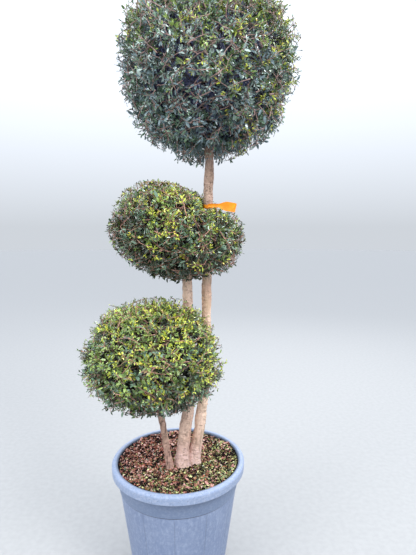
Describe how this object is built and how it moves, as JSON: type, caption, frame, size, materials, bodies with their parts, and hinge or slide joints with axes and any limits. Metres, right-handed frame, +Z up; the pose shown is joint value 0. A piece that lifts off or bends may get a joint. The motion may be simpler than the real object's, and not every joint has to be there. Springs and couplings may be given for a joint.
{
  "type": "potted privet triple ball topiary",
  "caption": "Privet clipped into balls of foliage at different heights on bare stems, growing from one round tapered plastic pot.",
  "frame": {"origin": "middle of the pot's flat underside, on the ground", "axes": "+Z up along the stems, +X to the viewer's right, -Y towards the viewer of the picture"},
  "size_m": [0.7899, 0.6325, 2.2482],
  "materials": {
    "pot": "satin blue-grey moulded plastic, lightly dusty",
    "compost": "dark compost under loose bark chips and moss",
    "bark": "smooth pale pinkish beige bark with fine cracks and small scars",
    "foliage": "small glossy dark green leaves with yellow-green young tips on orange-brown twigs",
    "label": "plain orange plastic film"
  },
  "bodies": {
    "root": {"pot": "pot", "compost": "compost", "tall_stem": "bark", "middle_stem": "bark", "low_stem": "bark", "loop_label": "label", "top_ball": "foliage", "middle_ball": "foliage", "low_ball": "foliage"}
  },
  "joints": []
}
